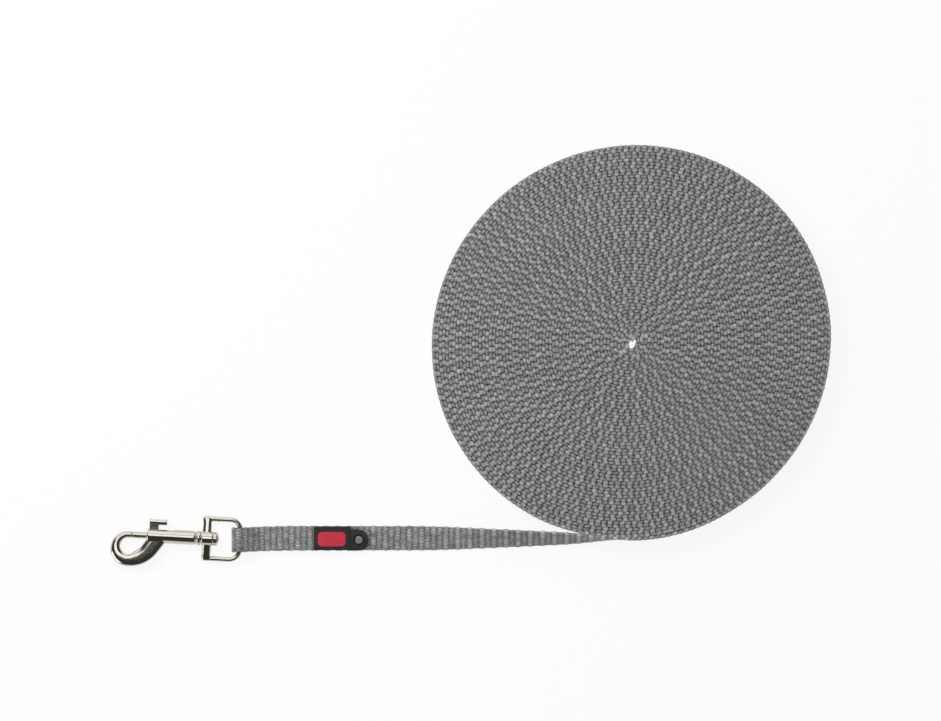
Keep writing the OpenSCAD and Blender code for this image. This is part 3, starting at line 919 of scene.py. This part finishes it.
def cast_shape(rough, grain, passes):
    """Melts an object into one skin with soft inner corners, as a bmesh."""
    melt = rough.modifiers.new("melt", "REMESH")
    melt.mode = "VOXEL"
    melt.voxel_size = grain
    polish = rough.modifiers.new("polish", "SMOOTH")
    polish.factor = 0.5
    polish.iterations = passes
    settle(rough)
    bm = bmesh.new()
    bm.from_mesh(rough.data)
    bpy.data.objects.remove(rough)
    return bm


# %% [markdown]
# The tab is moulded rubber, dull and nearly black. Such rubber blooms a little, which shows as paler
# patches, and the mould leaves a fine pebbled skin. Two noises of different size give the two, one
# as colour and the other as relief.

# %% Finish: moulded rubber


def moulded_rubber():
    """Moulded rubber: near black and dull, with a faint bloom in patches and a fine pebbled skin."""
    made, tree, look = new_finish("moulded black rubber")
    place = add_node(tree, "ShaderNodeTexCoord").outputs["Object"]
    bloom = add_node(tree, "ShaderNodeTexNoise", {0: place, "Scale": 1 / (2.5 * mm), "Detail": 4})
    pebble = add_node(tree, "ShaderNodeTexNoise", {0: place, "Scale": 1 / (0.25 * mm), "Detail": 2})
    stops = ((0.35, "#1f1f22"), (0.75, "#303034"))
    add_node(tree, "ShaderNodeValToRGB", {0: bloom}, stops, look["Base Color"])
    bump = {"Height": pebble, "Strength": 0.25, "Distance": 0.06 * mm}
    add_node(tree, "ShaderNodeBump", bump, to=look["Normal"])
    look["Roughness"].default_value = 0.55
    return made


rubber = moulded_rubber()
print("finish", rubber.name)

# %% [markdown]
# Past the label a black rubber tab shows, with a round end and a recess for the head of a rivet. Its
# outline is a disc with one half pulled out straight, which is extruded and bevelled. The recess is
# cut out of it with a boolean, as a face with a hole in it is hard to bevel well.

# %% Rubber tab
tab_under = 1.2
tab_out = 7.2
tab_x = label_x + label_l - tab_under
tab_end = label_x + label_l + tab_out
tab_w = 8.6
tab_shift = -0.7
tab_edge = 0.25
rivet_inset = 3.7
rivet_x = tab_end - rivet_inset
rivet_r = 1.5
recess_r = 2.15
recess_depth = 0.75
# How far a cutting shape reaches past what it cuts
cut_over = 1

bm = bmesh.new()
round_x = tab_end - tab_w / 2
bmesh.ops.create_circle(bm, cap_ends=True, radius=tab_w / 2, segments=64)
bmesh.ops.translate(bm, verts=bm.verts, vec=(round_x, 0, 0))
for vert in bm.verts:
    if vert.co.x < round_x - 0.01:
        vert.co = (tab_x, math.copysign(tab_w / 2, vert.co.y), 0)
bmesh.ops.remove_doubles(bm, verts=bm.verts, dist=1e-3)
skin = bmesh.ops.extrude_face_region(bm, geom=list(bm.faces))["geom"]
raised = [g for g in skin if isinstance(g, bmesh.types.BMVert)]
bmesh.ops.translate(bm, verts=raised, vec=(0, 0, strap_t))
bmesh.ops.recalc_face_normals(bm, faces=bm.faces)
rims = [e for e in bm.edges if abs(e.verts[0].co.z - e.verts[1].co.z) < 0.1]
round_edges(bm, rims, tab_edge)
tab = rough_object(bm)
stand_up = Matrix.Translation((rivet_x, 0, 0)) @ Matrix.Rotation(-math.pi / 2, 4, "Y")
recess = drill(strap_t - recess_depth, strap_t + cut_over, recess_r, 64)
bmesh.ops.transform(recess, matrix=stand_up, verts=recess.verts)
combine(tab, recess, "DIFFERENCE")
bm = bmesh.new()
bm.from_mesh(tab.data)
bpy.data.objects.remove(tab)
on_tab = on_strap @ Matrix.Translation((0, tab_shift, tail_z - strap_t))
finish_piece("rubber_tab", bm, rubber, "strap", ["size_tab"], on_tab, sharp=40)

# %% [markdown]
# The rivet is grey plastic with a soft shine, which faint scuffs make uneven. Its head is turned: a
# flat disc with a rounded rim and a dimple. Its post is hidden in the strap, so the solid stays and
# only takes on the same plastic.

# %% Rivet head
head_rise = 0.25
head_low = strap_t - recess_depth
head_high = strap_t + head_rise
rim_r = 0.3
face_r = 0.9
dimple_r = 0.45
dimple_depth = 0.35
profile = [(head_low, 0), (head_low, rivet_r)]
profile += rounded(head_high - rim_r, rivet_r - rim_r, rim_r, 90, 0) + [(head_high, face_r)]
profile += rounded(head_high, dimple_r, dimple_depth, 90, 180, 4) + [(head_high - dimple_depth, 0)]
bm = turned(profile, 48)


def satin_plastic():
    """Moulded grey acetal: even mid grey with a soft satin shine and faint scuffs."""
    made, tree, look = new_finish("satin grey acetal")
    place = add_node(tree, "ShaderNodeTexCoord").outputs["Object"]
    scuff = add_node(tree, "ShaderNodeTexNoise", {0: place, "Scale": 1 / (0.6 * mm), "Detail": 5})
    stops = ((0.3, "#66686a"), (0.75, "#8b8d8f"))
    add_node(tree, "ShaderNodeValToRGB", {0: scuff}, stops, look["Base Color"])
    add_node(tree, "ShaderNodeMapRange", {0: scuff, 3: 0.35, 4: 0.5}, to=look["Roughness"])
    return made


acetal = satin_plastic()
bmesh.ops.transform(bm, matrix=stand_up, verts=bm.verts)
finish_piece("rivet_head", bm, acetal, "strap", ["rivet_cap"], on_tab, sharp=50)
frame["nodes"]["rivet_post"].data.materials.clear()
frame["nodes"]["rivet_post"].data.materials.append(acetal)

# %% [markdown]
# The hook is a zinc die casting with a polished nickel plate: warm, mirror-like, soft at every
# edge. Plating is never quite even, so the shine varies slowly and the surface has a faint swell.

# %% Finish: nickel plate


def nickel_plate():
    """Polished nickel on cast zinc: a warm mirror with slow changes of gloss."""
    made, tree, look = new_finish("polished nickel plate")
    place = add_node(tree, "ShaderNodeTexCoord").outputs["Object"]
    swell = add_node(tree, "ShaderNodeTexNoise", {0: place, "Scale": 1 / (3 * mm), "Detail": 2})
    grain = add_node(tree, "ShaderNodeTexNoise", {0: place, "Scale": 1 / (0.4 * mm), "Detail": 4})
    stops = ((0.3, "#bcb7aa"), (0.7, "#d3cfc4"))
    add_node(tree, "ShaderNodeValToRGB", {0: grain}, stops, look["Base Color"])
    add_node(tree, "ShaderNodeMapRange", {0: grain, 3: 0.08, 4: 0.14}, to=look["Roughness"])
    bump = {"Height": swell, "Strength": 0.15, "Distance": 0.1 * mm}
    add_node(tree, "ShaderNodeBump", bump, to=look["Normal"])
    look["Metallic"].default_value = 1
    return made


nickel = nickel_plate()
print("finish", nickel.name)

# %% [markdown]
# Bows and bars of the casting are swept: a ring of points is extruded step by step along a centre
# line, each step carried from the last by one matrix. So a bar can bend and grow on the way, and
# its section can turn from round to nearly square.

# %% Helper that sweeps a bar


def sweep(stations, sides=40):
    """A bar through stations of x, y, heading in degrees, half width, half height and squareness."""
    bm = bmesh.new()
    ring = bmesh.ops.create_circle(bm, radius=1, segments=sides)["verts"]
    bmesh.ops.rotate(bm, verts=ring, cent=(0, 0, 0), matrix=Matrix.Rotation(math.pi / 2, 3, "Y"))
    last = Matrix()
    for number, (x, y, heading, wide, high, square) in enumerate(stations):
        here = (
            Matrix.Translation((x, y, 0)) @ Matrix.Rotation(math.radians(heading), 4, "Z")
            @ Matrix.Diagonal((1, wide, high, 1))
        )
        if number:
            edges = [e for e in bm.edges if e.verts[0] in ring and e.verts[1] in ring]
            grown = bmesh.ops.extrude_edge_only(bm, edges=edges)["geom"]
            ring = [g for g in grown if isinstance(g, bmesh.types.BMVert)]
        ring = set(ring)
        for vert in ring:
            spot = last.inverted() @ vert.co
            reach = (abs(spot.y) ** square + abs(spot.z) ** square) ** (1 / square)
            vert.co = here @ Vector((0, spot.y / reach, spot.z / reach))
        last = here
    bmesh.ops.holes_fill(bm, edges=[e for e in bm.edges if e.is_boundary])
    bmesh.ops.recalc_face_normals(bm, faces=bm.faces)
    return bm


# %% [markdown]
# The hook's bow starts as a thin nose, runs round half a circle and swells into the limb, which
# bends back up to the barrel. One sweep makes all of it, from a list of places and sections.

# %% Bow and limb of the hook
nose_x = -43.4
bow_x = -44.7
bow_r = 5
bow_steps = 30
bolt_r = 1.3
limb_r = 10.6
limb_angle = 55
limb_half = (2.75, 2.3)
limb_square = 3.2
limb_steps = 8
limb_drop = 0.85
root_half = 3.4
root_square = 5


def swelling(share):
    """Half width, half height and squareness of the bow, at a share of the way to the limb."""
    grown = share * share * (3 - 2 * share)
    sections = zip((bolt_r, bolt_r, 2), (*limb_half, limb_square))
    return [small + (full - small) * grown for small, full in sections]


stations = [(nose_x, 0, 180, *swelling(0))]
for i in range(bow_steps + 1):
    a = math.pi * i / bow_steps
    spot = (bow_x - bow_r * math.sin(a), bow_r * math.cos(a) - bow_r)
    stations.append((*spot, 180 + math.degrees(a), *swelling(i / bow_steps)))
for i in range(1, limb_steps + 1):
    a = math.radians(limb_angle) * i / limb_steps
    spot = (bow_x + limb_r * math.sin(a), limb_r * (1 - math.cos(a)) - 2 * bow_r)
    half = limb_half[0] + (root_half - limb_half[0]) * i / limb_steps
    square = limb_square + (root_square - limb_square) * i / limb_steps
    stations.append((*spot, 360 + math.degrees(a), half, limb_half[1], square))
limb_x, limb_y = stations[-1][:2]
limb_run = (-limb_drop - limb_y) / math.tan(math.radians(limb_angle))
stations.append((limb_x + limb_run, -limb_drop, 360 + limb_angle, root_half, limb_half[1], root_square))
hook = rough_object(sweep(stations))
print("bow and limb of", len(stations), "sections")

# %% [markdown]
# The barrel and the collar behind its groove are turned from one profile and joined to the limb.
# Then the barrel is bored for the bolt and the swivel pin, slotted for the thumb stud, and the bow
# gets the round seat that a ring lies in. Last, all of it melts into one skin.

# %% Barrel of the hook
barrel_r = 2.85
collar_r = 3
collar_x = -15.8
barrel_x = -18
front_x = -37.3
bore_r = 1.35
edge_r = 0.4
groove_l = 0.6
groove_depth = 0.45
groove_r = barrel_r - groove_depth
profile = [(front_x, 0)] + rounded(front_x + edge_r, barrel_r - edge_r, edge_r, 180, 90)
profile += rounded(barrel_x - edge_r, barrel_r - edge_r, edge_r, 90, 0)
profile += [(barrel_x, groove_r), (barrel_x + groove_l, groove_r)]
profile += rounded(barrel_x + groove_l + edge_r, collar_r - edge_r, edge_r, 180, 90)
profile += rounded(collar_x - edge_r, collar_r - edge_r, edge_r, 90, 0) + [(collar_x, 0)]
combine(hook, turned(profile, 96), "UNION")
combine(hook, drill(front_x - cut_over, collar_x + cut_over, bore_r), "DIFFERENCE")


def block(low, high):
    """A box between two corners."""
    bm = bmesh.new()
    bmesh.ops.create_cube(bm, size=1)
    low, high = Vector(low), Vector(high)
    shape = Matrix.Translation((low + high) / 2) @ Matrix.Diagonal((*(high - low), 1))
    bmesh.ops.transform(bm, matrix=shape, verts=bm.verts)
    return bm


stem_gap = 0.8
stem_x = front_x + stem_gap
stem_l = 3.7
bolt_travel = 6
slot_half = 1.2
slot_room = 0.2
slot_top = 4
slot_end = stem_x + stem_l + bolt_travel + slot_room
combine(hook, block((stem_x - slot_room, 0, -slot_half), (slot_end, slot_top, slot_half)), "DIFFERENCE")

seat_r = 3.175
seat_y = -4.575
seat = drill(-limb_half[1] - cut_over, limb_half[1] + cut_over, seat_r)
bmesh.ops.rotate(seat, verts=seat.verts, cent=(0, 0, 0), matrix=Matrix.Rotation(-math.pi / 2, 3, "Y"))
bmesh.ops.translate(seat, verts=seat.verts, vec=(bow_x, seat_y, 0))
combine(hook, seat, "DIFFERENCE")
bm = cast_shape(hook, grain=0.13, passes=8)
finish_piece("cast_hook", bm, nickel, "hook", ["hook_body"], on_hook)

# %% [markdown]
# The bolt closes the hook. It is a plain turned pin with a chamfer at its tip. A cast thumb stud on
# its side stands out through the barrel's slot. It is a plain stem and a cap swept with a rounded
# section, with five grooves cut across its top for the thumb's grip, and melts into one skin too.

# %% Bolt and thumb stud
tip_gap = 0.08
tail_l = 1.5
bolt_tip = nose_x + tip_gap
bolt_tail = stem_x + stem_l + tail_l
chamfer = 0.25
bm = turned([
    (bolt_tip, 0), (bolt_tip, bolt_r - chamfer), (bolt_tip + chamfer, bolt_r),
    (bolt_tail - chamfer, bolt_r), (bolt_tail, bolt_r - chamfer), (bolt_tail, 0),
], 48)
finish_piece("hook_bolt", bm, nickel, "bolt", ["bolt"], on_hook, sharp=35)

cap_y = 4.4
cap_h = 2.4
cap_l = 7
cap_half = 1.7
cap_square = 3.2
stem_half = 1.0
stem_root = 0.9
stem_overlap = 0.5
stem_top = cap_y + stem_overlap
grooves = 5
groove_half = 2
grip_r = 0.42
stud = rough_object(block((stem_x, stem_root, -stem_half), (stem_x + stem_l, stem_top, stem_half)))
cap_section = (cap_y + cap_h / 2, 0, cap_h / 2, cap_half, cap_square)
combine(stud, sweep([(x, *cap_section) for x in (stem_x, stem_x + cap_l)]), "UNION")
sideways = Matrix.Rotation(math.pi / 2, 3, "Y")
for i in range(grooves):
    grip = drill(-groove_half, groove_half, grip_r, 16)
    bmesh.ops.rotate(grip, verts=grip.verts, cent=(0, 0, 0), matrix=sideways)
    groove_x = stem_x + cap_l * (i + 1) / (grooves + 1)
    bmesh.ops.translate(grip, verts=grip.verts, vec=(groove_x, cap_y + cap_h, 0))
    combine(stud, grip, "DIFFERENCE")
bm = cast_shape(stud, grain=0.09, passes=10)
finish_piece("thumb_stud_casting", bm, nickel, "bolt", ["thumb_stud"], on_hook)

# %% [markdown]
# The eye is a D of round wire cast in one with a base and a boss for the swivel pin. The wire is
# swept round its two corners. The base is swept too, thick at the boss and thin at the wire, so that
# its two legs slope away from the middle, and all of it melts together.

# %% Swivel eye
eye_half = 7.95
wire_r = 1
corner_r = 4.2
corner_steps = 12
straight_end = 2
base_x = -11.6
base_l = 3.6
base_thick = 2.1
boss_x = -15.6
boss_r = 3
boss_inner = 0.8
pin_room = 0.05
arm_x = base_x - base_l / 2
wire = (wire_r, wire_r, 2)
stations = [(arm_x, -eye_half, 0, *wire), (-corner_r - straight_end, -eye_half, 0, *wire)]
for side in (-1, 1):
    for i in range(corner_steps + 1):
        a = math.radians((i if side < 0 else corner_steps - i) * 90 / corner_steps)
        spot = (corner_r * (math.sin(a) - 1), side * (eye_half - corner_r + corner_r * math.cos(a)))
        stations.append((*spot, math.degrees(a) if side < 0 else 180 - math.degrees(a), *wire))
stations.append((arm_x, eye_half, 180, *wire))
eye = rough_object(sweep(stations, 24))
base_end = eye_half + wire_r
# From the boss to the end: share of the way, half length along the hook and half height of the leg
leg_shape = [
    (0.4, 1.85, 1.6), (0.6, 1.8, 1.4), (0.72, 1.75, 1.3), (0.8, 1.9, 1.22), (0.9, 1.95, 1.1),
    (0.96, 1.75, 0.9), (1, 1.2, 0.5)
]
leg_square = 3
leg_shares = [(-share, half, thick) for share, half, thick in reversed(leg_shape)]
leg_shares += [(0, base_l / 2, base_thick)] + leg_shape
legs = [(arm_x, share * base_end, 90, half, thick, leg_square) for share, half, thick in leg_shares]
combine(eye, sweep(legs, 24), "UNION")
profile = [(boss_x, 0)] + rounded(boss_x + edge_r, boss_r - edge_r, edge_r, 180, 90)
profile += rounded(base_x + boss_inner - edge_r, boss_r - edge_r, edge_r, 90, 0)
combine(eye, turned(profile + [(base_x + boss_inner, 0)], 64), "UNION")
eye_bore = drill(boss_x - cut_over, base_x + boss_inner + cut_over, bore_r + pin_room)
combine(eye, eye_bore, "DIFFERENCE")
bm = cast_shape(eye, grain=0.12, passes=8)
finish_piece("cast_eye", bm, nickel, "eye", ["swivel_eye"], on_hook)

# %% [markdown]
# The swivel pin runs through the boss into the barrel, and its domed head shows inside the eye. It
# is turned in one: a straight shank, a flat underside and a part of a circle for the dome.

# %% Swivel pin
head_gap = 0.15
pin_x = base_x + boss_inner + head_gap
pin_end_x = -21.5
pin_r = 2.8
dome = 1.125
dome_r = (pin_r ** 2 + dome ** 2) / (2 * dome)
dome_turn = math.degrees(math.asin(pin_r / dome_r))
profile = [(pin_end_x, 0), (pin_end_x, bore_r), (pin_x, bore_r), (pin_x, pin_r)]
profile += rounded(pin_x + 2 * dome - dome_r, 0, dome_r, dome_turn, 0, 10)
bm = turned(profile)
finish_piece("swivel_pin_turning", bm, nickel, "hook", ["swivel_pin"], on_hook, sharp=35)

# %% [markdown]
# The return spring is plain drawn wire, which is duller than the nickel and finely scratched by the
# die. So little of it shows that an uneven gloss is enough for that.

# %% Finish: spring wire


def spring_wire():
    """Drawn carbon steel wire: dull grey with fine scratches."""
    made, tree, look = new_finish("drawn spring wire")
    place = add_node(tree, "ShaderNodeTexCoord").outputs["Object"]
    scratch = add_node(tree, "ShaderNodeTexNoise", {0: place, "Scale": 1 / (0.2 * mm), "Detail": 4})
    add_node(tree, "ShaderNodeMapRange", {0: scratch, 3: 0.25, 4: 0.45}, to=look["Roughness"])
    look["Base Color"].default_value = hex_colour("#8f9295")
    look["Metallic"].default_value = 1
    return made


steel = spring_wire()
print("finish", steel.name)

# %% [markdown]
# The spring sits inside the barrel and shows only through the slot. A ring of wire that is spun
# along its axis while it moves forward gives the helix in one step. When the bolt is pulled back the
# real spring shortens, but this one rides on the hook unchanged.

# %% Return spring
wire_d = 0.34
wire_sides = 10
spring_curls = 8
spring_room = 0.15
spring_gap = 0.02
curl_steps = 24
spring_r = bore_r - wire_d / 2 - spring_room
spring_l = pin_end_x - bolt_tail
curl_pitch = (spring_l - wire_d - 2 * spring_gap) / spring_curls

bm = bmesh.new()
ring = bmesh.ops.create_circle(bm, radius=wire_d / 2, segments=wire_sides)["verts"]
bmesh.ops.rotate(bm, verts=ring, cent=(0, 0, 0), matrix=Matrix.Rotation(math.pi / 2, 3, "X"))
bmesh.ops.translate(bm, verts=ring, vec=(bolt_tail + spring_gap + wire_d / 2, 0, spring_r))
bmesh.ops.spin(
    bm, geom=list(bm.verts) + list(bm.edges), cent=(0, 0, 0), axis=(1, 0, 0),
    angle=math.tau * spring_curls, steps=curl_steps * spring_curls,
    dvec=(curl_pitch / curl_steps, 0, 0),
)
bmesh.ops.holes_fill(bm, edges=[e for e in bm.edges if e.is_boundary])
spring = finish_piece("return_spring_wire", bm, steel, "hook", ["return_spring"], on_hook)
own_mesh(spring)
